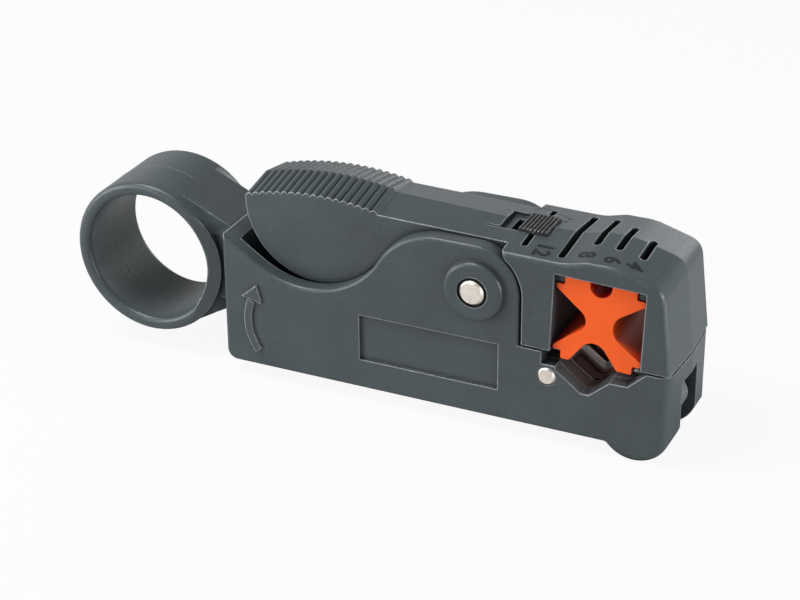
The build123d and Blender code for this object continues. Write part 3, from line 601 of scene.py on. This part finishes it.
def on_surface(tree, x, y, lift):
    """Point on the moulding straight under a place, raised by lift."""
    start = Vector((x + REAR_FACE_X, y, ABOVE_ALL)) * MM
    return tree.ray_cast(start, Vector((0, 0, -1)))[0] + Vector((0, 0, lift * MM))


def glyphs(text, height):
    """Flat mesh of a text, centred on the origin."""
    curve = bpy.data.curves.new("text", "FONT")
    curve.body = text
    curve.size = height * MM / GLYPH_SHARE
    curve.align_x = "CENTER"
    curve.align_y = "CENTER"
    curve.resolution_u = CURVE_STEPS
    curve.offset = NUMERAL_BOLD * MM
    source = new_piece("text", curve)
    bpy.context.view_layer.update()
    mesh = bpy.data.meshes.new_from_object(source)
    bpy.data.objects.remove(source)
    return mesh


def numeral(text, x, y, height, tree, ink):
    """A printed number that follows the moulding under it; glyph tops point to the jaws."""
    mesh = glyphs(text, height)
    shape = bmesh.new()
    shape.from_mesh(mesh)
    bmesh.ops.triangulate(shape, faces=shape.faces[:])
    bmesh.ops.subdivide_edges(shape, edges=shape.edges[:], cuts=NUMERAL_CUTS, use_grid_fill=True)
    for vertex in shape.verts:
        along = x + vertex.co.y / MM
        across = y - vertex.co.x / MM
        vertex.co = on_surface(tree, along, across, NUMERAL_LIFT)
    shape.to_mesh(mesh)
    shape.free()
    piece = new_piece("numeral_" + text, mesh)
    finish_with(piece, ink)
    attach(piece, "jaw")


def scribe(shape, tree, start, end):
    """A narrow strip on the moulding between two places."""
    run = Vector(end) - Vector(start)
    side = Vector((-run.y, run.x)).normalized() * SCRIBED_WIDTH / 2
    rows = []
    for step in range(SCRIBED_STEPS + 1):
        middle = Vector(start) + run * step / SCRIBED_STEPS
        spots = [middle + side, middle - side]
        rows.append([shape.verts.new(on_surface(tree, spot.x, spot.y, MARK_LIFT)) for spot in spots])
    join_rows(shape, rows)


def pin_mark(shape, tree, x, y):
    """A small disc on the moulding."""
    ring = []
    for step in range(PIN_MARK_STEPS):
        angle = 2 * math.pi * step / PIN_MARK_STEPS
        along = x + PIN_MARK_RADIUS * math.cos(angle)
        across = y + PIN_MARK_RADIUS * math.sin(angle)
        ring.append(shape.verts.new(on_surface(tree, along, across, MARK_LIFT)))
    shape.faces.new(ring)


def scribed_marks(tree, ink):
    """The fine line and the two pin marks beside the slide, as thin skins on the moulding."""
    shape = bmesh.new()
    for start, end in zip(SCRIBED_LINE, SCRIBED_LINE[1:]):
        scribe(shape, tree, start, end)
    for x, y in PIN_MARKS:
        pin_mark(shape, tree, x, y)
    piece = piece_from("scribed_marks", shape)
    finish_with(piece, ink)
    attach(piece, "jaw")


def add_print():
    tree = surface_tree("jaw_lever")
    ink = print_ink()
    for text, x, y, height in NUMERALS:
        numeral(text, x, y, height, tree, ink)
    scribed_marks(tree, ink)


# Floor, light and camera

def floor_material():
    """Pale floor that the camera sees nearly white and that still takes the shadow."""
    material, nodes, links, shader = new_material("floor")
    shader.inputs["Base Color"].default_value = (FLOOR_GREY, FLOOR_GREY, FLOOR_GREY, 1.0)
    shader.inputs["Roughness"].default_value = FLOOR_ROUGHNESS
    glow = nodes.new("ShaderNodeEmission")
    glow.inputs["Strength"].default_value = 1.0
    mix = nodes.new("ShaderNodeMixShader")
    path = nodes.new("ShaderNodeLightPath")
    seen = times(nodes, links, path.outputs["Is Camera Ray"], FLOOR_WHITENED)
    links.new(seen, mix.inputs["Fac"])
    links.new(shader.outputs["BSDF"], mix.inputs[1])
    links.new(glow.outputs["Emission"], mix.inputs[2])
    links.new(mix.outputs["Shader"], nodes["Material Output"].inputs["Surface"])
    return material


def add_floor():
    mesh = bpy.data.meshes.new("floor")
    signs = ((-1, -1), (1, -1), (1, 1), (-1, 1))
    corners = [(x * FLOOR_HALF, y * FLOOR_HALF, 0) for x, y in signs]
    mesh.from_pydata(corners, [], [(0, 1, 2, 3)])
    mesh.materials.append(floor_material())
    new_piece("floor", mesh)


def area_lamp(name, place, size, watts):
    lamp = bpy.data.lights.new(name, "AREA")
    lamp.shape = "DISK"
    lamp.size = size
    lamp.energy = watts
    thing = new_piece(name, lamp)
    thing.location = place
    direction = Vector(LAMP_TARGET) - Vector(place)
    thing.rotation_euler = direction.to_track_quat("-Z", "Y").to_euler()


def add_world():
    """White to the camera, graded in reflections, and a soft light on everything else."""
    world = bpy.data.worlds.new("world")
    bpy.context.scene.world = world
    world.use_nodes = True
    world.cycles.sampling_method = "NONE"
    nodes = world.node_tree.nodes
    links = world.node_tree.links
    background = nodes["Background"]
    background.inputs["Color"].default_value = (1, 1, 1, 1)
    path = nodes.new("ShaderNodeLightPath")
    seen = nodes.new("ShaderNodeMath")
    seen.operation = "MAXIMUM"
    links.new(path.outputs["Is Camera Ray"], seen.inputs[0])
    links.new(path.outputs["Is Transmission Ray"], seen.inputs[1])
    direction = nodes.new("ShaderNodeSeparateXYZ")
    links.new(nodes.new("ShaderNodeTexCoord").outputs["Generated"], direction.inputs["Vector"])
    reflected = stretched(
        nodes, links, direction.outputs["Z"], HORIZON_HEIGHT, ZENITH_HEIGHT, HORIZON, ZENITH)
    lit = mixed(nodes, links, path.outputs["Is Glossy Ray"], SKY, reflected)
    links.new(mixed(nodes, links, seen.outputs["Value"], lit, 1.0), background.inputs["Strength"])


def add_camera():
    azimuth = math.radians(CAMERA_AZIMUTH)
    elevation = math.radians(CAMERA_ELEVATION)
    roll = math.radians(CAMERA_ROLL)
    forward = Vector((
        -math.sin(azimuth) * math.cos(elevation),
        math.cos(azimuth) * math.cos(elevation),
        -math.sin(elevation),
    ))
    right = Vector((math.cos(azimuth), math.sin(azimuth), 0.0))
    up = right.cross(forward)
    turned_right = math.cos(roll) * right + math.sin(roll) * up
    turned_up = math.cos(roll) * up - math.sin(roll) * right
    columns = Matrix((turned_right, turned_up, -forward)).transposed().to_4x4()
    lens = bpy.data.cameras.new("camera")
    lens.sensor_width = SENSOR_WIDTH
    lens.lens = CAMERA_LENS
    lens.clip_start = CLIP_START
    camera = new_piece("camera", lens)
    camera.matrix_world = Matrix.Translation(CAMERA_AT) @ columns
    bpy.context.scene.camera = camera


def main():
    bpy.context.scene.view_settings.view_transform = "Standard"
    dress_nodes()
    add_print()
    add_floor()
    for lamp in LAMPS:
        area_lamp(*lamp)
    add_world()
    add_camera()


main()
